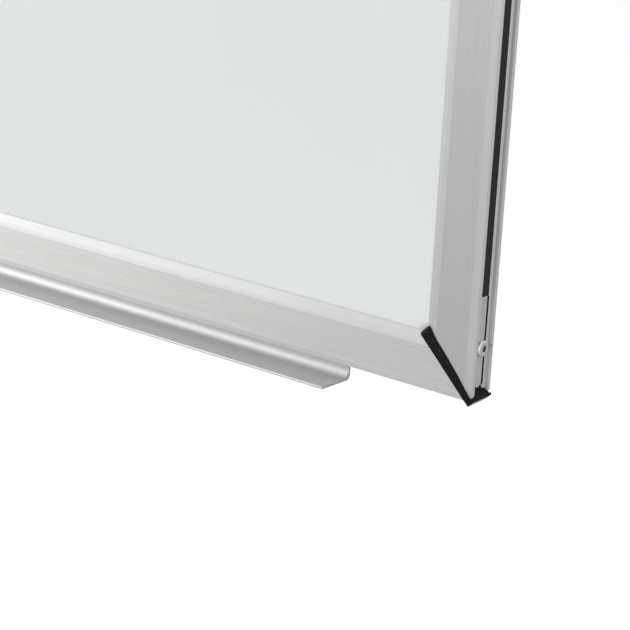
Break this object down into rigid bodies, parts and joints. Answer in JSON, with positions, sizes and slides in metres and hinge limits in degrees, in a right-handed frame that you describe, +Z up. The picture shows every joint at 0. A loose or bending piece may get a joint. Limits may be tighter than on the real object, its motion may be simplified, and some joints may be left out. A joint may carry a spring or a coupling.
{
  "type": "magnetic whiteboard",
  "caption": "Landscape magnetic whiteboard: enamelled writing sheet in a mitred aluminium frame with black corner connectors, a sliding pen tray below and keyhole wall hangers behind.",
  "frame": {"origin": "on the flat back of the top rail, halfway along it and halfway up that face, where the board touches the wall", "axes": "+X along the board's long side (to the right as seen from the front), +Y towards the wall, +Z up; the writing surface faces -Y"},
  "size_m": [0.9038, 0.0321, 0.6104],
  "materials": {
    "anodised": "satin natural anodised extrusion with fine lengthwise lines",
    "enamel": "glossy white vitreous enamel on steel",
    "core": "raw wood-fibre core board",
    "galvanised": "galvanised steel sheet",
    "black_plastic": "moulded black plastic, finely textured",
    "black_strip": "matt black extruded plastic",
    "zinc": "bright zinc-plated steel"
  },
  "bodies": {
    "board": {"writing_sheet": "enamel", "core_board": "core", "back_sheet": "galvanised", "top_rail": "anodised", "top_locking_bar_left": "zinc", "top_locking_screw_left": "zinc", "top_locking_seat_left": "black_plastic", "top_locking_bar_right": "zinc", "top_locking_screw_right": "zinc", "top_locking_seat_right": "black_plastic", "top_infill_strip": "black_strip", "right_rail": "anodised", "right_locking_bar_upper": "zinc", "right_locking_screw_upper": "zinc", "right_locking_seat_upper": "black_plastic", "right_locking_bar_lower": "zinc", "right_locking_screw_lower": "zinc", "right_locking_seat_lower": "black_plastic", "right_infill_strip": "black_strip", "bottom_rail": "anodised", "bottom_locking_bar_right": "zinc", "bottom_locking_screw_right": "zinc", "bottom_locking_seat_right": "black_plastic", "bottom_locking_bar_left": "zinc", "bottom_locking_screw_left": "zinc", "bottom_locking_seat_left": "black_plastic", "left_rail": "anodised", "left_locking_bar_lower": "zinc", "left_locking_screw_lower": "zinc", "left_locking_seat_lower": "black_plastic", "left_locking_bar_upper": "zinc", "left_locking_screw_upper": "zinc", "left_locking_seat_upper": "black_plastic", "left_infill_strip": "black_strip", "wall_hanger_left": "galvanised", "hanger_screw_left_1": "zinc", "hanger_screw_left_2": "zinc", "wall_hanger_right": "galvanised", "hanger_screw_right_1": "zinc", "hanger_screw_right_2": "zinc", "corner_connector_top_right": "black_plastic", "corner_connector_bottom_right": "black_plastic", "corner_connector_bottom_left": "black_plastic", "corner_connector_top_left": "black_plastic"},
    "tray": {"pen_tray": "anodised"}
  },
  "joints": [
    {"name": "tray_slide", "type": "slide", "parent": "board", "child": "tray", "axis": [1, 0, 0], "range_m": [-0.025, 0.025]}
  ]
}
